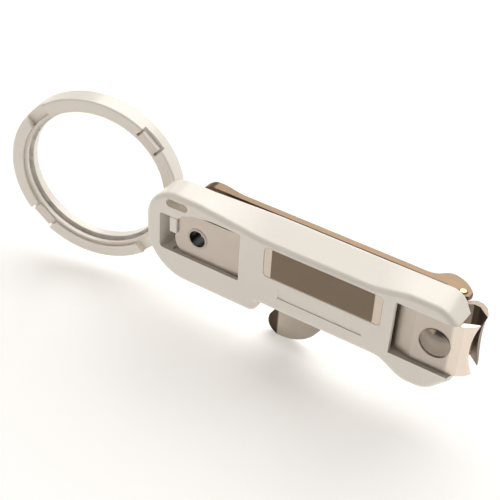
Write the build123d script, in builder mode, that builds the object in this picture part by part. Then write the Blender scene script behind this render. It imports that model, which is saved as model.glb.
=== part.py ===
"""Nail clipper in a moulded holder, with a magnifier ring hinged to the holder's rear end.

Millimetres. The origin is the centre of the eyelet that joins the two spring arms, in the plane of the
lower arm's outer face. +X runs along the clipper towards its cutting edges, +Y runs from the holder's
face to the lever, and +Z is up while the tool stands on the edge of its ring and its swung-out blade.
"""
import os
from math import cos, radians, sin

from build123d import *

os.makedirs("parts", exist_ok=True)

# ---- spring arms ----
arm_rear_x = -4.9           # rear end of both arms, behind the eyelet
pin_x = 48.0                # axis of the main pin
edge_x = 54.4               # cutting edges, at the arms' sides
arm_half_rear = 4.7
arm_half_front = 5.35
arm_thick = 1.1
arm_corner = 3.0
edge_hollow = 1.0           # how far the cutting edges curve back at mid width
waist_depth = 1.0           # the lower arm bows this far inward between eyelet and jaw
flex_gap = 0.02             # between the arms at their common rear edge
flex_knee_x = 6.0           # the upper arm turns up here
flex_knee_y = 1.65          # its inner face there
waist_start_x = 26.0
waist_end_x = 39.0
seat_x = 44.0               # the lower arm is flat again from here, under the pin's head
jaw_root_x = 50.0
lower_jaw_outer = ((50.6, 0.0), (52.4, 0.4), (53.7, 1.3))
lower_jaw_inner = ((53.1, 1.95), (51.6, 1.25))
upper_jaw_inner = ((51.2, 6.9), (52.3, 6.8), (53.2, 6.0))
upper_jaw_outer = ((54.15, 5.9), (53.4, 7.2), (52.3, 8.0), (51.1, 8.1))
upper_root_y = 6.1          # inner face of the upper arm at the jaw's root
lower_edge_y = 2.5
upper_edge_y = 5.0

# ---- eyelet ----
eyelet_bore_r = 1.6
eyelet_wall = 0.35
eyelet_lip_r = 2.15
eyelet_lip = 0.08
eyelet_top_y = 2 * arm_thick + 0.42
flex_clearance = 0.12

# ---- main pin and cross pin ----
pin_r = 1.5
pin_head_r = 2.87
pin_head_rim = 0.15
pin_head_rise = 0.95
pin_top_y = 10.6
pin_running = 0.08
pin_slack = 0.5             # hole in the upper arm, which swings past the pin
cross_pin_r = 0.75
cross_pin_y = 9.4
cross_pin_half = 5.1
running = 0.05

# ---- lever ----
lever_half = 4.9
lever_rear_x = -6.2
lever_under_y = 9.6
lever_plate = 0.9
lever_rim_y = 10.9
lever_flange = 0.8
lever_slot_x = 44.5         # the plate stops here and the two cam flanges carry on
hump_y = 12.9
hump_x = 45.2
lever_nose_x = 49.7
thumb_x = -2.8              # crest of the thumb rest
thumb_y = 11.7

# ---- swing-out cuticle blade ----
blade_pivot_x = 28.15
blade_half = 4.27
blade_nose = (27.8, -2.4)   # corner of the skewed nose, from the pivot along and across the strip
blade_shoulder = 24.9       # where the short side of the nose starts
blade_heel = 23.5           # where its long, curved side starts
blade_radii = (3.0, 2.3, 9.2)
blade_thick = 0.85
blade_gap = 0.05
blade_angle = 57.0          # swung out from the lever
blade_skew = 57.0           # the nose is ground hollow at this angle across the strip
hollow_start = 14.75        # from the pivot to the hollow's inner edge, square to that edge
hollow_half = 2.8
hollow_depth = 0.42
rivet_r = 1.0
rivet_head_r = 1.9
rivet_head_rise = 0.55
rivet_tail_r = 1.6
rivet_tail = 0.3

# ---- holder ----
face_y = -0.8
back_y = 5.8
holder_rear_x = -11.1
holder_nose_x = 52.6
holder_nose_y = 3.4
holder_face_x = 51.4
holder_back_x = 49.6
waist_half = 7.8
bulge_half = 10.5
bulge_x = (38.5, 43.0, 47.8)
nose_half = 5.5
rear_bottom = 10.5
pad_end_x = 13.4
bottom_radii = (9.0, 1.5, 0.6, 4.5, 5.0, 4.5, 1.2)
# the top wall leans: each edge is given where it meets the face and where it meets the back
top_nose_x = 48.6
top_nose_half = 4.8
top_bulge_x = 42.6
top_waist_x = (14.0, 36.0)
top_face = (8.2, 6.3, 7.9)  # heights over the rear end, the waist and the bulge, at the face
top_back = (7.4, 8.3, 8.2)
top_face_radii = (7.0, 1.5, 5.0, 5.0, 8.0, 15.0, 12.0)     # rear corner first, then from the nose back
top_back_radii = (5.5, 1.5, 3.0, 40.0, 60.0, 40.0, 30.0)
edge_round = 1.0
back_round = 0.6
channel_half_rear = 4.95     # the channel follows the arms' taper
channel_half = 5.55
window_rear_x = -7.9
window_rear_top = 3.2
window_rear_bottom = 4.6
window_front_bottom = 4.6
window_top = ((9.6, 5.6), (6.5, 5.75), (3.5, 5.75), (-0.6, 5.2), (-2.9, 4.3), (-3.9, 3.2))
window_radii = (0.8, 0.25, 0.25, 1.5, 1.5, 3.0, 1.0, 1.0, 0.5)
front_window_x = 40.3
back_wall = 1.4
back_wall_end_x = -3.0
rear_room = 0.6             # behind the arms' rear ends
hook_half = 1.55
hook_z = 1.2
hook_thick = 0.7
hook_reach = 0.75

# ---- shallow features of the face ----
file_x = 26.42
file_z = 2.27
file_long = 23.5
file_wide = 6.35
file_corner = 0.8
file_recess = 0.35
file_thick = 0.3
file_clearance = 0.06
grit_long = 20.3
grit_thick = 0.06
grit_margin = 0.12
label_x = 26.5
label_z = -3.57
label_long = 17.0
label_wide = 2.15
label_deep = 0.2
slot_long = 4.75
slot_wide = 1.7
slot_tilt = 2.0
slot_deep = 1.5
slot_x = -4.2
slot_z = 6.05

# ---- magnifier ring ----
ring_tilt = 13.0            # the ring leans towards the face side by this much
hinge_x = -8.6
hinge_y = 9.5
ring_r = 17.6
hinge_reach = ring_r + 1.55  # from the ring's centre to its hinge axis
ring_bore_r = 15.3
ring_ledge_r = 14.1
ring_thick = 3.9
ledge_thick = 1.6
notch_count = 4
notch_wide = 5.4
notch_deep = 1.4
tab_wide = 4.3
tab_top = 0.25              # the tabs end this far below the ring's front face
tab_r = 16.9
retainer_wall = 0.65
retainer_thick = 0.75
ring_clearance = 0.05
lens_rim_thick = 0.9
lens_rim_wide = 0.9
lens_sag = 0.65
barrel_r = 1.5
barrel_half = 1.4
web_reach = 3.1             # flat web from the barrel to the ring's rim
web_thick = 2.4
lug_gap = 0.1
lug_thick = 1.1
lug_r = 1.3
lug_rear_x = -8.8           # the lugs' feet stay clear of the ring's rim
lug_front_x = -5.4
hinge_pin_r = 0.75
ring_edge = 0.35


def face_plane(y):
    """Sketch plane facing the holder's front: local x is X, local y is Z, and extruding moves towards -Y."""
    return Plane(origin=(0, y, 0), x_dir=(1, 0, 0), z_dir=(0, -1, 0))


def arm_plan(hole_x, hole_r, pin_hole_r):
    """Plan outline of a spring arm, with its two holes and its hollow-ground cutting edge."""
    hollow_r = (arm_half_front ** 2 + edge_hollow ** 2) / (2 * edge_hollow)
    with BuildSketch(face_plane(0)) as plan:
        with BuildLine():
            Polyline((arm_rear_x, -arm_half_rear), (edge_x, -arm_half_front),
                     (edge_x, arm_half_front), (arm_rear_x, arm_half_rear), close=True)
        make_face()
        fillet(plan.vertices().group_by(Axis.X)[0], arm_corner)
        with Locations((edge_x - edge_hollow + hollow_r, 0)):
            Circle(hollow_r, mode=Mode.SUBTRACT)
        with Locations((hole_x, 0)):
            Circle(hole_r, mode=Mode.SUBTRACT)
        with Locations((pin_x, 0)):
            Circle(pin_hole_r, mode=Mode.SUBTRACT)
    return plan.sketch


arm_width = 2 * arm_half_front + 1
eyelet_r = eyelet_bore_r + eyelet_wall

# ---- lower arm: spring steel, flat at the eyelet and the pin, bowed inward between them ----
with BuildPart() as lower_arm:
    with BuildSketch(Plane.XY.offset(-arm_width / 2)):
        with BuildLine():
            Polyline(
                (arm_rear_x, 0), (flex_knee_x, 0), (waist_start_x, waist_depth),
                (waist_end_x, waist_depth), (seat_x, 0), *lower_jaw_outer,
                (edge_x, lower_edge_y), *lower_jaw_inner, (jaw_root_x, arm_thick),
                (seat_x, arm_thick), (waist_end_x, waist_depth + arm_thick),
                (waist_start_x, waist_depth + arm_thick), (flex_knee_x, arm_thick),
                (arm_rear_x, arm_thick), close=True)
        make_face()
    extrude(amount=arm_width)
    add(extrude(arm_plan(0, eyelet_r, pin_r + pin_running), amount=20, both=True, mode=Mode.PRIVATE),
        mode=Mode.INTERSECT)
lower_arm.part.label = "lower_arm"

# ---- upper arm: the same strip, rising from the common rear edge to the upper cutting edge ----
flex_y = arm_thick + flex_gap
with BuildPart() as upper_arm:
    with BuildSketch(Plane.XY.offset(-arm_width / 2)):
        with BuildLine():
            Polyline(
                (arm_rear_x, flex_y), (flex_knee_x, flex_knee_y), (jaw_root_x, upper_root_y),
                *upper_jaw_inner, (edge_x, upper_edge_y), *upper_jaw_outer,
                (jaw_root_x, upper_root_y + arm_thick), (flex_knee_x, flex_knee_y + arm_thick),
                (arm_rear_x, flex_y + arm_thick), close=True)
        make_face()
    extrude(amount=arm_width)
    add(extrude(arm_plan(0, eyelet_r + flex_clearance, pin_r + pin_slack), amount=20, both=True,
                mode=Mode.PRIVATE), mode=Mode.INTERSECT)
upper_arm.part.label = "upper_arm"

# ---- eyelet: a rolled steel tube that rivets the arms together at the rear ----
with BuildPart() as eyelet:
    with BuildSketch(Plane.XY):
        with BuildLine():
            Polyline((eyelet_bore_r, -eyelet_lip), (eyelet_lip_r, -eyelet_lip), (eyelet_lip_r, 0),
                     (eyelet_r, 0), (eyelet_r, eyelet_top_y), (eyelet_lip_r, eyelet_top_y),
                     (eyelet_lip_r, eyelet_top_y + eyelet_lip), (eyelet_bore_r, eyelet_top_y + eyelet_lip),
                     close=True)
        make_face()
    revolve(axis=Axis.Y)
eyelet.part.label = "eyelet"

# ---- main pin: domed head under the lower arm, shank up through both arms, cross-drilled at its top ----
with BuildPart() as main_pin:
    with BuildSketch(Plane.XY):
        with BuildLine():
            head_rim = (pin_x + pin_head_r, -pin_head_rim)
            crown = (pin_x, -pin_head_rim - pin_head_rise)
            cap_r = (pin_head_r ** 2 + pin_head_rise ** 2) / (2 * pin_head_rise)
            Polyline(head_rim, (pin_x + pin_head_r, -0.01), (pin_x + pin_r, -0.01),
                     (pin_x + pin_r, pin_top_y - 0.3), (pin_x + pin_r - 0.3, pin_top_y),
                     (pin_x, pin_top_y), crown)
            RadiusArc(crown, head_rim, -cap_r)
        make_face()
    revolve(axis=Axis((pin_x, 0, 0), (0, 1, 0)))
    with BuildSketch(Plane.XY):
        with Locations((pin_x, cross_pin_y)):
            Circle(cross_pin_r)
    extrude(amount=2 * pin_r, both=True, mode=Mode.SUBTRACT)
main_pin.part.label = "main_pin"

# ---- cross pin: the lever's pivot, through the main pin's top ----
with BuildPart() as cross_pin:
    with BuildSketch(Plane.XY.offset(-cross_pin_half)):
        with Locations((pin_x, cross_pin_y)):
            Circle(cross_pin_r)
    extrude(amount=2 * cross_pin_half)
    chamfer(cross_pin.edges().filter_by(GeomType.CIRCLE), 0.15)
cross_pin.part.label = "cross_pin"

# ---- lever: a pressed steel channel with a rolled thumb rest and two cam flanges ----
with BuildPart() as lever:
    with BuildSketch(Plane.XY.offset(-lever_half)):
        with BuildLine():
            crest_start = (thumb_x + 5.4, lever_rim_y)
            thumb_tip = (lever_rear_x, lever_under_y + 0.1)
            Polyline(crest_start, (hump_x - 7.5, lever_rim_y))
            Spline((hump_x - 7.5, lever_rim_y), (hump_x - 2.6, hump_y - 1.4), (hump_x - 0.5, hump_y - 0.05),
                   tangents=((1, 0), (1, 0.12)))
            Spline((hump_x - 0.5, hump_y - 0.05), (hump_x + 0.7, hump_y - 0.2),
                   (lever_nose_x - 0.1, cross_pin_y + 0.6), tangents=((1, 0.12), (0.8, -1)))
            ThreePointArc((lever_nose_x - 0.1, cross_pin_y + 0.6), (lever_nose_x - 0.15, cross_pin_y - 0.5),
                          (pin_x + 0.7, cross_pin_y - 1.1))
            Polyline((pin_x + 0.7, cross_pin_y - 1.1), (pin_x - 1.2, cross_pin_y - 1.1),
                     (lever_slot_x + 0.4, lever_under_y), (thumb_x, lever_under_y), thumb_tip)
            Spline(thumb_tip, (thumb_x, thumb_y), crest_start, tangents=((0.3, 1), (1, -0.12)))
        make_face()
    extrude(amount=2 * lever_half)
    with BuildSketch(face_plane(lever_under_y - 3)):
        with BuildLine():
            FilletPolyline((lever_rear_x, -lever_half), (lever_nose_x, -lever_half),
                           (lever_nose_x, lever_half), (lever_rear_x, lever_half),
                           radius=(3.2, 0.5, 0.5, 3.2), close=True)
        make_face()
    extrude(amount=-10, mode=Mode.INTERSECT)
    inner_half = lever_half - lever_flange
    with BuildSketch(face_plane(lever_under_y + lever_plate)):
        with BuildLine():
            Polyline((thumb_x + 6.4, -inner_half), (lever_nose_x + 1, -inner_half),
                     (lever_nose_x + 1, inner_half), (thumb_x + 6.4, inner_half), close=True)
        make_face()
    extrude(amount=-5, mode=Mode.SUBTRACT)
    with BuildSketch(face_plane(lever_under_y - 3)):
        with BuildLine():
            Polyline((lever_slot_x, -inner_half), (lever_nose_x + 1, -inner_half),
                     (lever_nose_x + 1, inner_half), (lever_slot_x, inner_half), close=True)
        make_face()
        with Locations((blade_pivot_x, 0)):
            Circle(rivet_r)
    extrude(amount=-10, mode=Mode.SUBTRACT)
    with BuildSketch(Plane.XY):
        with Locations((pin_x, cross_pin_y)):
            Circle(cross_pin_r + running)
    extrude(amount=2 * lever_half, both=True, mode=Mode.SUBTRACT)
lever.part.label = "lever"

# ---- cuticle blade: a chrome strip under the lever, hollow ground at its skewed nose, swung out on its rivet ----
blade_back_y = lever_under_y - blade_gap
blade_front_y = blade_back_y - blade_thick
out = radians(blade_angle)
blade_plane = Plane(origin=(blade_pivot_x, blade_front_y, 0), x_dir=(-cos(out), 0, -sin(out)), z_dir=(0, -1, 0))
skew = radians(blade_angle - blade_skew)
hollow_plane = Plane(origin=(blade_pivot_x, blade_front_y, 0), x_dir=(-cos(skew), 0, -sin(skew)),
                     z_dir=(-sin(skew), 0, cos(skew)))
hollow_r = (hollow_half ** 2 + hollow_depth ** 2) / (2 * hollow_depth)
with BuildPart() as cuticle_blade:
    with BuildSketch(blade_plane):
        with BuildLine():
            FilletPolyline((0, -blade_half), (blade_shoulder, -blade_half), blade_nose,
                           (blade_heel, blade_half), (0, blade_half), radius=blade_radii)
            Line((0, blade_half), (0, -blade_half))
        make_face()
        Circle(blade_half)
        Circle(rivet_r + running, mode=Mode.SUBTRACT)
    extrude(amount=-blade_thick)
    with BuildSketch(hollow_plane):
        with Locations((hollow_start + hollow_half, hollow_r - hollow_depth)):
            Circle(hollow_r)
    extrude(amount=blade_nose[0] + 2, both=True, mode=Mode.SUBTRACT)
cuticle_blade.part.label = "cuticle_blade"

# ---- blade rivet: domed head on the lever, shank through both, spun tail under the blade ----
rivet_head_y = lever_under_y + lever_plate
rivet_tail_y = blade_front_y - blade_gap
with BuildPart() as blade_rivet:
    with BuildSketch(Plane.XY):
        with BuildLine():
            dome_r = (rivet_head_r ** 2 + rivet_head_rise ** 2) / (2 * rivet_head_rise)
            rivet_top = (blade_pivot_x, rivet_head_y + rivet_head_rise)
            rivet_rim = (blade_pivot_x + rivet_head_r, rivet_head_y)
            Polyline(rivet_rim, (blade_pivot_x + rivet_r, rivet_head_y), (blade_pivot_x + rivet_r, rivet_tail_y),
                     (blade_pivot_x + rivet_tail_r, rivet_tail_y),
                     (blade_pivot_x + rivet_tail_r, rivet_tail_y - rivet_tail),
                     (blade_pivot_x, rivet_tail_y - rivet_tail), rivet_top)
            RadiusArc(rivet_top, rivet_rim, dome_r)
        make_face()
    revolve(axis=Axis((blade_pivot_x, 0, 0), (0, 1, 0)))
blade_rivet.part.label = "blade_rivet"

# ---- holder: one white moulding, open at its back, that carries the clipper and the ring's hinge ----
lug_start = barrel_half + lug_gap
lug_foot_y = back_y - back_wall / 2
lug_slope = radians(10)


def outline(heights, top_radii):
    """The holder's outline, with its upper side at the given heights and rounded by the given radii."""
    rear, waist, bulge = heights
    with BuildLine() as edge:
        FilletPolyline(
            (holder_rear_x, rear), (holder_rear_x, -rear_bottom), (pad_end_x, -rear_bottom),
            (pad_end_x, -waist_half), (bulge_x[0], -waist_half), (bulge_x[1], -bulge_half),
            (bulge_x[2], -bulge_half), (holder_nose_x, -nose_half), (holder_nose_x, top_nose_half),
            (top_nose_x, bulge), (top_bulge_x, bulge), (top_waist_x[1], waist), (top_waist_x[0], waist),
            (0, rear), radius=(top_radii[0], *bottom_radii, *top_radii[1:]), close=True)
    return edge.line


with BuildPart() as holder:
    with BuildSketch(face_plane(face_y)):
        add(outline(top_face, top_face_radii))
        make_face()
    with BuildSketch(face_plane(back_y)):
        add(outline(top_back, top_back_radii))
        make_face()
    loft(ruled=True)
    fillet(holder.faces().sort_by(Axis.Y)[0].edges(), edge_round)
    fillet(holder.faces().sort_by(Axis.Y)[-1].edges(), back_round)
    with BuildSketch(Plane.XY.offset(-rear_bottom - 1)):
        with BuildLine():
            Polyline((holder_rear_x - 1, face_y - 1), (holder_face_x - 0.25, face_y - 1),
                     (holder_nose_x, holder_nose_y), (holder_back_x, back_y), (holder_back_x, back_y + 1),
                     (holder_rear_x - 1, back_y + 1), close=True)
        make_face()
    extrude(amount=2 * rear_bottom + 2, mode=Mode.INTERSECT)
    # channel for the arms, open at the back except for a wall across the rear
    with BuildSketch(face_plane(0)):
        with BuildLine():
            Polyline((back_wall_end_x, -channel_half_rear), (holder_nose_x + 1, -channel_half),
                     (holder_nose_x + 1, channel_half), (back_wall_end_x, channel_half_rear), close=True)
        make_face()
    extrude(amount=-back_y - 1, mode=Mode.SUBTRACT)
    # rear window in the face, and the pocket behind it
    with BuildSketch(face_plane(face_y)):
        with BuildLine():
            FilletPolyline(
                (window_rear_x, -window_rear_bottom), (window_top[0][0], -window_front_bottom),
                *window_top, (window_rear_x, window_rear_top), radius=window_radii, close=True)
        make_face()
    extrude(amount=face_y - back_y + back_wall, mode=Mode.SUBTRACT)
    # room for the rear ends of the arms behind the face
    with BuildSketch(face_plane(0)):
        with BuildLine():
            Polyline((arm_rear_x - rear_room, -channel_half_rear), (back_wall_end_x + 1, -channel_half_rear),
                     (back_wall_end_x + 1, channel_half_rear), (arm_rear_x - rear_room, channel_half_rear),
                     close=True)
        make_face()
    extrude(amount=back_wall - back_y, mode=Mode.SUBTRACT)
    # front window, where the pin's head and the lower jaw show
    with BuildSketch(face_plane(face_y - 1)):
        with BuildLine():
            Polyline((front_window_x, -channel_half), (holder_nose_x + 1, -channel_half),
                     (holder_nose_x + 1, channel_half), (front_window_x + 0.1, channel_half), close=True)
        make_face()
    extrude(amount=face_y - 2, mode=Mode.SUBTRACT)
    # shallow features: seat of the file, blank panel, slot for a fingernail
    with BuildSketch(face_plane(face_y)):
        with Locations((file_x, file_z)):
            RectangleRounded(file_long, file_wide, file_corner)
    extrude(amount=-file_recess, mode=Mode.SUBTRACT)
    with BuildSketch(face_plane(face_y)):
        with Locations((label_x, label_z)):
            Rectangle(label_long, label_wide)
    extrude(amount=-label_deep, mode=Mode.SUBTRACT)
    with BuildSketch(face_plane(face_y)):
        with Locations((slot_x, slot_z)):
            SlotOverall(slot_long, slot_wide, rotation=slot_tilt)
    extrude(amount=-slot_deep, mode=Mode.SUBTRACT)
    # hook that stands on the back wall and holds the arms' rear end
    with BuildSketch(Plane.XY.offset(hook_z - hook_half)):
        with BuildLine():
            Polyline((arm_rear_x - 0.2 - hook_thick, back_y - back_wall / 2),
                     (arm_rear_x - 0.2 - hook_thick, face_y + 0.25), (arm_rear_x - 0.2 + hook_reach, face_y + 0.3),
                     (arm_rear_x - 0.2 + hook_reach, -0.06), (arm_rear_x - 0.2, -0.06),
                     (arm_rear_x - 0.2, back_y - back_wall / 2), close=True)
        make_face()
    extrude(amount=2 * hook_half)
    # two lugs on the back wall for the ring's hinge pin
    for side in (lug_start, -lug_start - lug_thick):
        with BuildSketch(Plane.XY.offset(side)):
            with BuildLine():
                Polyline((lug_rear_x, lug_foot_y), (lug_front_x, lug_foot_y),
                         (hinge_x + lug_r * cos(lug_slope), hinge_y + lug_r * sin(lug_slope)),
                         (lug_rear_x, hinge_y), close=True)
            make_face()
            with Locations((hinge_x, hinge_y)):
                Circle(lug_r)
                Circle(hinge_pin_r, mode=Mode.SUBTRACT)
        extrude(amount=lug_thick)
holder.part.label = "holder"

# ---- nail file: a thin steel plate glued in the face, with an abrasive panel on it ----
with BuildPart() as nail_file:
    with BuildSketch(face_plane(face_y + file_recess)):
        with Locations((file_x, file_z)):
            RectangleRounded(file_long - 2 * file_clearance, file_wide - 2 * file_clearance,
                             file_corner - file_clearance)
    extrude(amount=file_thick)
nail_file.part.label = "nail_file"

with BuildPart() as file_grit:
    with BuildSketch(face_plane(face_y + file_recess - file_thick)):
        with Locations((file_x, file_z)):
            Rectangle(grit_long, file_wide - 2 * (file_clearance + grit_margin))
    extrude(amount=grit_thick)
file_grit.part.label = "file_grit"

# ---- magnifier ring: frame with a ledge, four notches and a hinge barrel ----
lean = radians(ring_tilt)
ring_x = hinge_x - hinge_reach * cos(lean)
ring_y = hinge_y - hinge_reach * sin(lean)
ring_plane = Plane(origin=(ring_x, ring_y, 0), x_dir=(cos(lean), sin(lean), 0), z_dir=(sin(lean), -cos(lean), 0))
barrel_plane = Plane(origin=(hinge_x, hinge_y, -barrel_half), x_dir=(cos(lean), sin(lean), 0), z_dir=(0, 0, 1))
front = ring_thick / 2
seat = ledge_thick - front          # the lens rests on the ledge's front face
notch_floor = front - notch_deep
notch_mid_r = (ring_bore_r + ring_r) / 2
with BuildPart() as lens_frame:
    with BuildSketch(ring_plane.offset(-front)):
        Circle(ring_r)
    extrude(amount=ring_thick)
    fillet(lens_frame.edges(), ring_edge)
    with BuildSketch(barrel_plane):
        with Locations((-web_reach / 2, 0)):
            Rectangle(web_reach, web_thick)
        Circle(barrel_r)
    extrude(amount=2 * barrel_half)
    with BuildSketch(ring_plane.offset(seat)):
        Circle(ring_bore_r)
    extrude(amount=ring_thick, mode=Mode.SUBTRACT)
    with BuildSketch(ring_plane.offset(-front)):
        Circle(ring_ledge_r)
    extrude(amount=ring_thick, mode=Mode.SUBTRACT)
    with BuildSketch(ring_plane.offset(notch_floor)):
        with PolarLocations(notch_mid_r, notch_count, start_angle=45):
            Rectangle(2 * (ring_r - ring_bore_r), notch_wide)
    extrude(amount=notch_deep + 1, mode=Mode.SUBTRACT)
    with BuildSketch(barrel_plane):
        Circle(hinge_pin_r + running)
    extrude(amount=2 * barrel_half, mode=Mode.SUBTRACT)
lens_frame.part.label = "lens_frame"

# ---- lens retainer: a thin ring in the frame's bore, with two tabs that snap into opposite notches ----
lens_front = seat + lens_rim_thick
with BuildPart() as lens_retainer:
    with BuildSketch(ring_plane.offset(lens_front)):
        Circle(ring_bore_r - ring_clearance)
        Circle(ring_bore_r - ring_clearance - retainer_wall, mode=Mode.SUBTRACT)
    extrude(amount=retainer_thick)
    tab_start_r = ring_bore_r - ring_clearance - retainer_wall / 2
    with BuildSketch(ring_plane.offset(notch_floor + ring_clearance)):
        with PolarLocations((tab_start_r + tab_r) / 2, 2, start_angle=45):
            Rectangle(tab_r - tab_start_r, tab_wide)
    extrude(amount=notch_deep - tab_top - ring_clearance)
lens_retainer.part.label = "lens_retainer"

# ---- magnifier lens: clear, biconvex, with a flat rim that sits on the ledge ----
lens_r = ring_bore_r - ring_clearance
lens_bulge_r = ring_ledge_r - ring_clearance
with BuildPart() as magnifier_lens:
    with BuildSketch(Plane(origin=ring_plane.origin, x_dir=ring_plane.x_dir, z_dir=(0, 0, -1))):
        with BuildLine():
            bulge_sphere = (lens_bulge_r ** 2 + lens_sag ** 2) / (2 * lens_sag)
            RadiusArc((0, lens_front + lens_sag), (lens_bulge_r, lens_front), bulge_sphere)
            Polyline((lens_bulge_r, lens_front), (lens_r, lens_front), (lens_r, seat), (lens_bulge_r, seat))
            RadiusArc((lens_bulge_r, seat), (0, seat - lens_sag), bulge_sphere)
            Line((0, seat - lens_sag), (0, lens_front + lens_sag))
        make_face()
    revolve(axis=Axis(ring_plane.origin, ring_plane.z_dir))
magnifier_lens.part.label = "magnifier_lens"

# ---- hinge pin: steel, pressed in the holder's lugs ----
with BuildPart() as hinge_pin:
    with BuildSketch(Plane.XY.offset(-lug_start - lug_thick)):
        with Locations((hinge_x, hinge_y)):
            Circle(hinge_pin_r)
    extrude(amount=2 * (lug_start + lug_thick))
hinge_pin.part.label = "hinge_pin"

for piece in (holder, nail_file, file_grit, lower_arm, upper_arm, eyelet, main_pin, cross_pin, lever,
              cuticle_blade, blade_rivet, lens_frame, lens_retainer, magnifier_lens, hinge_pin):
    export_step(piece.part, f"parts/{piece.part.label}.step")
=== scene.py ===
"""Looks of a nail clipper in a white moulded holder, with a magnifier ring hinged to its rear end."""

import math

import bpy
from mathutils import Matrix, Vector


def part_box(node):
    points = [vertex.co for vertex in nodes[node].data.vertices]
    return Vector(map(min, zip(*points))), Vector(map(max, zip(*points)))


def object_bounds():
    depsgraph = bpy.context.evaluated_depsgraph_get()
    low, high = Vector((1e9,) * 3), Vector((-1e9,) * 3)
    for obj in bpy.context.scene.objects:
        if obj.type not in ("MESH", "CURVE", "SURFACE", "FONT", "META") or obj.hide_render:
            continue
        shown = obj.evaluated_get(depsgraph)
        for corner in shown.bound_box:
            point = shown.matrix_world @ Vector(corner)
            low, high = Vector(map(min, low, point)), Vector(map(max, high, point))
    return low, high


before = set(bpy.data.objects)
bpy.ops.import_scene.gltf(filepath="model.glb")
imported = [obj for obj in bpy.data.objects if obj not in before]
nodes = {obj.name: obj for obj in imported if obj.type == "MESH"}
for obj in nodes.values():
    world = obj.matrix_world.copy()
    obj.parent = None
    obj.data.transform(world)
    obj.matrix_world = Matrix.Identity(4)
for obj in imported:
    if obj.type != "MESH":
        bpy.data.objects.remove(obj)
cad_low, cad_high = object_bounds()
mm = 0.001

# ---- Holder ----
# One injection moulding in a warm white, glossy ABS plastic. Its face is polished, and its walls show the
# faint waviness of a thin moulding.


class Value:
    """An output of a shading node. Sums and products of values add the nodes they need."""

    def __init__(self, finish, socket):
        self.finish = finish
        self.socket = socket

    def combine(self, operation, first, second):
        return self.finish.node("ShaderNodeMath", {"operation": operation}, {0: first, 1: second})

    def __add__(self, other):
        return self.combine("ADD", self, other)

    def __radd__(self, other):
        return self.combine("ADD", other, self)

    def __sub__(self, other):
        return self.combine("SUBTRACT", self, other)

    def __rsub__(self, other):
        return self.combine("SUBTRACT", other, self)

    def __mul__(self, other):
        return self.combine("MULTIPLY", self, other)

    def __rmul__(self, other):
        return self.combine("MULTIPLY", other, self)


class Finish:
    """A surface finish: one material whose nodes are made as they are asked for."""

    def __init__(self, name):
        self.material = bpy.data.materials.new(name)
        self.material.use_nodes = True
        self.tree = self.material.node_tree
        self.shader = self.tree.nodes["Principled BSDF"]

    def node(self, kind, settings=None, sockets=None, output=0):
        made = self.tree.nodes.new(kind)
        for name, value in (settings or {}).items():
            if name == "stops":
                ramp = made.color_ramp
                for index, (position, colour) in enumerate(value):
                    stop = ramp.elements[index] if index < 2 else ramp.elements.new(position)
                    stop.position = position
                    stop.color = (*colour, 1)
            else:
                setattr(made, name, value)
        for name, value in (sockets or {}).items():
            self.feed(made.inputs[name], value)
        return Value(self, made.outputs[output])

    def feed(self, socket, value):
        if isinstance(value, Value):
            self.tree.links.new(value.socket, socket)
        else:
            socket.default_value = value

    def surface(self, **sockets):
        for name, value in sockets.items():
            self.feed(self.shader.inputs[name.replace("_", " ")], value)

    def place(self, stretch=(1, 1, 1), turn=(0, 0, 0)):
        point = self.node("ShaderNodeTexCoord", output="Object")
        return self.node("ShaderNodeMapping", None, {"Vector": point, "Scale": stretch, "Rotation": turn})

    def grain(self, size, stretch=(1, 1, 1), detail=3.0, turn=(0, 0, 0)):
        where = self.place(stretch, turn)
        return self.node("ShaderNodeTexNoise", None, {"Vector": where, "Scale": 1 / size, "Detail": detail})

    def blend_colours(self, factor, first, second):
        ends = [end if isinstance(end, Value) else (*end, 1) for end in (first, second)]
        return self.node("ShaderNodeMix", {"data_type": "RGBA"}, {0: factor, 6: ends[0], 7: ends[1]}, 2)

    def relief(self, height, distance, round_edges=0.0):
        sockets = {"Height": height, "Distance": distance, "Strength": 1.0}
        if round_edges:
            sockets["Normal"] = self.node("ShaderNodeBevel", {"samples": 4}, {"Radius": round_edges})
        return self.node("ShaderNodeBump", None, sockets)

    def coat(self, *names):
        for name in names:
            data = nodes[name].data
            data.materials.clear()
            data.materials.append(self.material)


def white_plastic(name, light, shade, waviness, gloss):
    """Glossy white moulding: slow colour drift, a faint orange peel and fine handling marks."""
    finish = Finish(name)
    drift = finish.grain(14 * mm, detail=2.0)
    peel = finish.grain(1.1 * mm, detail=2.0)
    marks = finish.grain(0.35 * mm, (0.25, 1, 1), detail=5.0)
    finish.surface(
        Base_Color=finish.blend_colours(drift, light, shade),
        Roughness=gloss + 0.10 * marks + 0.05 * drift,
        Normal=finish.relief(peel + 0.12 * marks, waviness),
        IOR=1.53,
        Coat_Weight=0.25,
        Coat_Roughness=0.08,
    )
    return finish


orange_peel = 0.02 * mm
white_light = (0.91, 0.868, 0.80)
holder_plastic = white_plastic("holder_plastic", white_light, (0.875, 0.828, 0.752), orange_peel, 0.26)
holder_plastic.coat("holder")

# ---- Nail file ----
# A thin satin steel plate glued into a seat in the holder's face. All but its two ends is cut with a
# fine cross hatch and has gone brown-grey, with bright specks where the cut has worn.

file_steel = Finish("file_steel")
file_brush = file_steel.grain(0.14 * mm, (0.05, 1, 1), detail=4.0)
file_steel.surface(
    Base_Color=file_steel.blend_colours(file_brush, (0.72, 0.63, 0.54), (0.62, 0.53, 0.45)),
    Metallic=1.0,
    Roughness=0.30 + 0.16 * file_brush,
    Normal=file_steel.relief(file_brush, 0.006 * mm),
)
file_steel.coat("nail_file")

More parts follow.
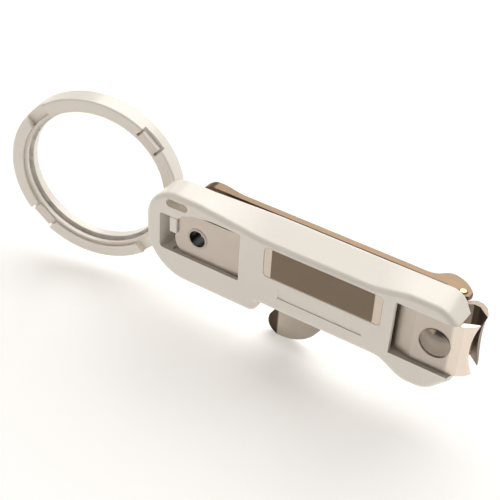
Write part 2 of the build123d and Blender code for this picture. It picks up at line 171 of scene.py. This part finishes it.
grit = Finish("file_grit")
speck = grit.grain(0.07 * mm, detail=6.0)
cloud = grit.grain(5.0 * mm, detail=3.0)
hatch_angle = math.radians(35)
hatch_scale = 1 / (1.0 * mm)
cut_one = grit.node("ShaderNodeTexWave", {"bands_direction": "X"},
                    {"Vector": grit.place(turn=(0, hatch_angle, 0)), "Scale": hatch_scale})
cut_two = grit.node("ShaderNodeTexWave", {"bands_direction": "X"},
                    {"Vector": grit.place(turn=(0, -hatch_angle, 0)), "Scale": hatch_scale})
cut = cut_one * cut_two
worn = 0.55 * speck + 0.10 * cut + 0.35 * cloud
grit.surface(
    Base_Color=grit.blend_colours(worn, (0.19, 0.138, 0.09), (0.275, 0.205, 0.14)),
    Metallic=0.35,
    Roughness=0.60 - 0.15 * speck,
    Normal=grit.relief(0.35 * cut + speck, 0.012 * mm),
)
grit.coat("file_grit")

# ---- Spring arms ----
# Two strips of hardened spring steel, tumbled to a satin grey and nickel plated. The grinding marks run
# along each strip. The hollow cutting edges at the front are paler, partly ground steel and partly a painted
# highlight, and the upper strip is painted dark brown all over as painted shade.


jaw_highlight_start = 50.3 * mm
jaw_highlight_full = 51.0 * mm


def satin_steel(name, light, shade, jaw_tone_with_highlight, gloss):
    """Satin spring steel: grinding marks along X, a cloudy tone, and a paler jaw, partly ground steel and
    partly a painted highlight.
    """
    finish = Finish(name)
    brush = finish.grain(0.18 * mm, (0.04, 1, 1), detail=4.0)
    cloud = finish.grain(7 * mm, detail=3.0)
    along = finish.node("ShaderNodeSeparateXYZ", None,
                        {0: finish.node("ShaderNodeTexCoord", output="Object")})
    jaw_highlight_mask = finish.node("ShaderNodeMapRange", {"interpolation_type": "SMOOTHSTEP"},
                      {"Value": along, "From Min": jaw_highlight_start, "From Max": jaw_highlight_full})
    finish.surface(
        # Past X = 50.3 mm the colour blends to a paler jaw tone, partly ground steel and partly a painted
        # highlight.
        Base_Color=finish.blend_colours(jaw_highlight_mask, finish.blend_colours(cloud, light, shade), jaw_tone_with_highlight),
        Metallic=1.0,
        Roughness=gloss + 0.14 * brush + 0.08 * cloud + 0.14 * jaw_highlight_mask,
        Normal=finish.relief(brush, 0.005 * mm, 0.12 * mm),
    )
    return finish


lower_arm_steel = satin_steel(
    "lower_arm_steel", (0.60, 0.54, 0.48), (0.51, 0.45, 0.395), (0.86, 0.76, 0.67), 0.22)
lower_arm_steel.coat("lower_arm")
# The upper arm is painted dark brown all over: painted shade for its shadowed inner faces between the arms.
upper_arm_painted_shade_steel = satin_steel(
    "upper_arm_painted_shade_steel", (0.26, 0.205, 0.16), (0.17, 0.13, 0.10), (0.34, 0.28, 0.23), 0.24)
upper_arm_painted_shade_steel.coat("upper_arm")

# ---- Eyelet, main pin, cross pin, hinge pin and blade rivet ----
# Turned and headed steel parts, barrel polished and nickel plated. They are bright, with light scratches
# and a faint ripple left by the plating.


def bright_plate(name, light, shade, gloss, round_edges):
    """Polished nickel plate: soft tone changes, hairline scratches and a faint ripple."""
    finish = Finish(name)
    tone = finish.grain(2.5 * mm, detail=3.0)
    hairline = finish.grain(0.09 * mm, (0.08, 1, 1), detail=4.0)
    finish.surface(
        Base_Color=finish.blend_colours(tone, light, shade),
        Metallic=1.0,
        Roughness=gloss + 0.07 * hairline + 0.04 * tone,
        Normal=finish.relief(tone, 0.004 * mm, round_edges),
    )
    return finish


pin_plate = bright_plate("pin_plate", (0.36, 0.31, 0.265), (0.27, 0.23, 0.19), 0.11, 0.08 * mm)
pin_plate.coat("main_pin", "hinge_pin", "blade_rivet")
cross_pin_plate = bright_plate("cross_pin_plate", (0.62, 0.47, 0.31), (0.50, 0.37, 0.24), 0.16, 0.10 * mm)
cross_pin_plate.coat("cross_pin")

# The eyelet's lips are rubbed bright, and its bore is painted almost black as painted shade in the hole.
eyelet_steel_painted_bore_shade = Finish("eyelet_steel_painted_bore_shade")
burnish = eyelet_steel_painted_bore_shade.grain(0.3 * mm, detail=4.0)
bore_shade_fade_start = 1.62 * mm
bore_shade_fade_end = 1.78 * mm
flat_place = eyelet_steel_painted_bore_shade.node("ShaderNodeVectorMath", {"operation": "MULTIPLY"},
                               {0: eyelet_steel_painted_bore_shade.node("ShaderNodeTexCoord", output="Object"), 1: (1, 0, 1)})
off_axis = eyelet_steel_painted_bore_shade.node("ShaderNodeVectorMath", {"operation": "LENGTH"}, {0: flat_place}, "Value")
lip_outside_shaded_bore = eyelet_steel_painted_bore_shade.node("ShaderNodeMapRange", {"interpolation_type": "SMOOTHSTEP"},
                        {"Value": off_axis, "From Min": bore_shade_fade_start, "From Max": bore_shade_fade_end})
eyelet_steel_painted_bore_shade.surface(
    # Within 1.62 mm of the axis the bore is painted near black: painted shade.
    Base_Color=eyelet_steel_painted_bore_shade.blend_colours(lip_outside_shaded_bore, (0.01, 0.008, 0.006), (0.50, 0.44, 0.38)),
    Metallic=0.9 * lip_outside_shaded_bore,
    Roughness=0.30 + 0.2 * burnish,
    Normal=eyelet_steel_painted_bore_shade.relief(burnish, 0.006 * mm),
)
eyelet_steel_painted_bore_shade.coat("eyelet")

# ---- Lever ----
# A channel pressed from sheet steel, polished and plated in a warm brown tone. The rolled rear end is
# the thumb rest.

lever_plate = bright_plate("lever_plate", (0.235, 0.165, 0.11), (0.185, 0.125, 0.08), 0.26, 0.12 * mm)
lever_plate.coat("lever")

# ---- Cuticle blade ----
# A chromed steel strip with a round, dished end, which swings out from under the lever on its rivet.
# It is the brightest part of the tool, but its dished end is painted near black as a painted dark
# reflection.

dark_reflection_fade_start = 13.1 * mm
dark_reflection_fade_end = 13.6 * mm
blade_chrome_painted_reflection = Finish("blade_chrome_painted_reflection")
blade_tone = blade_chrome_painted_reflection.grain(2.5 * mm, detail=3.0)
blade_hair = blade_chrome_painted_reflection.grain(0.09 * mm, (1, 1, 0.08), detail=4.0)
blade_along = blade_chrome_painted_reflection.node("ShaderNodeSeparateXYZ", None,
                                {0: blade_chrome_painted_reflection.node("ShaderNodeTexCoord", output="Object")})
outside_painted_reflection = blade_chrome_painted_reflection.node("ShaderNodeMapRange", {"interpolation_type": "SMOOTHSTEP"},
                            {"Value": blade_along, "From Min": dark_reflection_fade_start, "From Max": dark_reflection_fade_end})
plated = blade_chrome_painted_reflection.node("ShaderNodeMapRange", None, {"Value": blade_tone, "To Min": 0.85, "To Max": 1.05})
blade_chrome_painted_reflection.surface(
    # Below X = 13.1 mm the dished end is painted near black: a painted dark reflection.
    Base_Color=blade_chrome_painted_reflection.blend_colours(outside_painted_reflection * plated, (0.055, 0.036, 0.022), (0.50, 0.45, 0.385)),
    Metallic=1.0,
    Roughness=0.10 + 0.08 * blade_hair + 0.05 * blade_tone,
    Normal=blade_chrome_painted_reflection.relief(blade_tone + 0.02 * blade_hair, 0.004 * mm, 0.12 * mm),
)
blade_chrome_painted_reflection.coat("cuticle_blade")

# ---- Magnifier ring ----
# A white moulded frame with a lens seat and four notches, and a thin snap-in ring that keeps the lens
# in place. The plastic is the holder's. The snap-in ring, down where the walls face one another, is painted
# a darker cream as painted shade.

ring_plastic = white_plastic("ring_plastic", white_light, (0.875, 0.825, 0.745), orange_peel, 0.24)
ring_plastic.coat("lens_frame")
# The snap-in ring is painted a darker, warmer cream: painted shade in the groove.
retainer_painted_shade_plastic = white_plastic(
    "retainer_painted_shade_plastic", (0.86, 0.80, 0.73), (0.80, 0.74, 0.66), orange_peel, 0.26)
retainer_painted_shade_plastic.coat("lens_retainer")

# ---- Magnifier lens ----
# A clear acrylic disc with a domed front, thin at its rim. It is polished all over, and only its rim
# and a few faint wipe marks show against a pale ground.

rim_start = 13.9 * mm
rim_full = 15.2 * mm
lens = Finish("clear_lens")
lens_low, lens_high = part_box("magnifier_lens")
lens_middle = (lens_low + lens_high) / 2
off_centre = lens.node("ShaderNodeVectorMath", {"operation": "DISTANCE"},
                       {0: lens.node("ShaderNodeTexCoord", output="Object"), 1: lens_middle}, "Value")
rim = lens.node("ShaderNodeMapRange", None,
                {"Value": off_centre, "From Min": rim_start, "From Max": rim_full})
wipe = lens.grain(5 * mm, (0.3, 1, 1), detail=3.0)
lens.surface(
    Base_Color=(0.97, 0.98, 0.98, 1),
    Roughness=0.02 + 0.04 * wipe,
    Alpha=0.04 + 0.03 * wipe + 0.10 * rim,
    IOR=1.49,
)
lens.coat("magnifier_lens")

# ---- Table, light and camera ----
# The tool is held level over a plain white table, which the tip of its swung-out blade just meets. A
# large soft light hangs above and behind it, and the table throws a warm light back on to its face.

table_half = 1.5
table_gap = 0.05 * mm
table_z = cad_low.z - table_gap
corners = [(-1, -1), (1, -1), (1, 1), (-1, 1)]
table_mesh = bpy.data.meshes.new("table")
table_mesh.from_pydata([(x * table_half, y * table_half, table_z) for x, y in corners], [], [(0, 1, 2, 3)])
table = bpy.data.objects.new("table", table_mesh)
bpy.context.scene.collection.objects.link(table)
table_top = Finish("table_top")
table_grain = table_top.grain(60 * mm)
table_top.surface(
    Base_Color=table_top.blend_colours(table_grain, (0.80, 0.79, 0.78), (0.78, 0.77, 0.76)),
    Roughness=0.9,
    Emission_Color=(1.0, 0.975, 0.95, 1),
    Emission_Strength=0.345,
)
table.data.materials.append(table_top.material)


def soft_light(name, place, aim, width, power, colour):
    """A square soft box at place, turned towards aim."""
    data = bpy.data.lights.new(name, "AREA")
    data.size = width
    data.energy = power
    data.color = colour
    box = bpy.data.objects.new(name, data)
    box.location = place
    box.rotation_euler = (Vector(aim) - Vector(place)).to_track_quat("-Z", "Y").to_euler()
    bpy.context.scene.collection.objects.link(box)


middle = (cad_low + cad_high) / 2
soft_light("sky_box", (0.0, 0.36, 0.54), middle, 0.80, 5.8, (1.0, 0.99, 0.97))
soft_light("front_card", (-0.30, -0.45, 0.30), middle, 0.35, 0.35, (1.0, 0.90, 0.78))


class Room(Finish):
    """The room around the table: pale at the height of the horizon, and dim overhead."""

    def __init__(self, name):
        self.world = bpy.data.worlds.new(name)
        self.world.use_nodes = True
        self.tree = self.world.node_tree
        self.shader = self.tree.nodes["Background"]


room = Room("room")
direction = room.node("ShaderNodeTexCoord", output="Generated")
height = room.node("ShaderNodeSeparateXYZ", None, {0: direction}, "Z")
wall_fade = room.node("ShaderNodeMapRange", {"interpolation_type": "SMOOTHSTEP"},
                      {"Value": height, "From Min": 0.02, "From Max": 0.42, "To Min": 0.80, "To Max": 0.10})
room.surface(Color=(1.0, 0.95, 0.89, 1), Strength=wall_fade)
bpy.context.scene.world = room.world
bpy.context.scene.view_settings.view_transform = "Standard"

azimuth = math.radians(30.8)
elevation = math.radians(37.0)
roll = math.radians(3.7)
distance = 211.3 * mm
aim = Vector((11.71, -0.7, 3.27)) * mm
forward = Vector((-math.sin(azimuth) * math.cos(elevation), math.cos(azimuth) * math.cos(elevation),
                  -math.sin(elevation)))
level = Vector((math.cos(azimuth), math.sin(azimuth), 0))
upright = level.cross(forward)
right = level * math.cos(roll) + upright * math.sin(roll)
up = upright * math.cos(roll) - level * math.sin(roll)
turn = Matrix((right, up, -forward)).transposed()
camera_data = bpy.data.cameras.new("camera")
camera_data.sensor_width = 36
camera_data.lens = 86.4
camera_data.clip_start = 0.01
camera_data.clip_end = 20
camera = bpy.data.objects.new("camera", camera_data)
camera.matrix_world = Matrix.Translation(aim - forward * distance) @ turn.to_4x4()
bpy.context.scene.collection.objects.link(camera)
bpy.context.scene.camera = camera
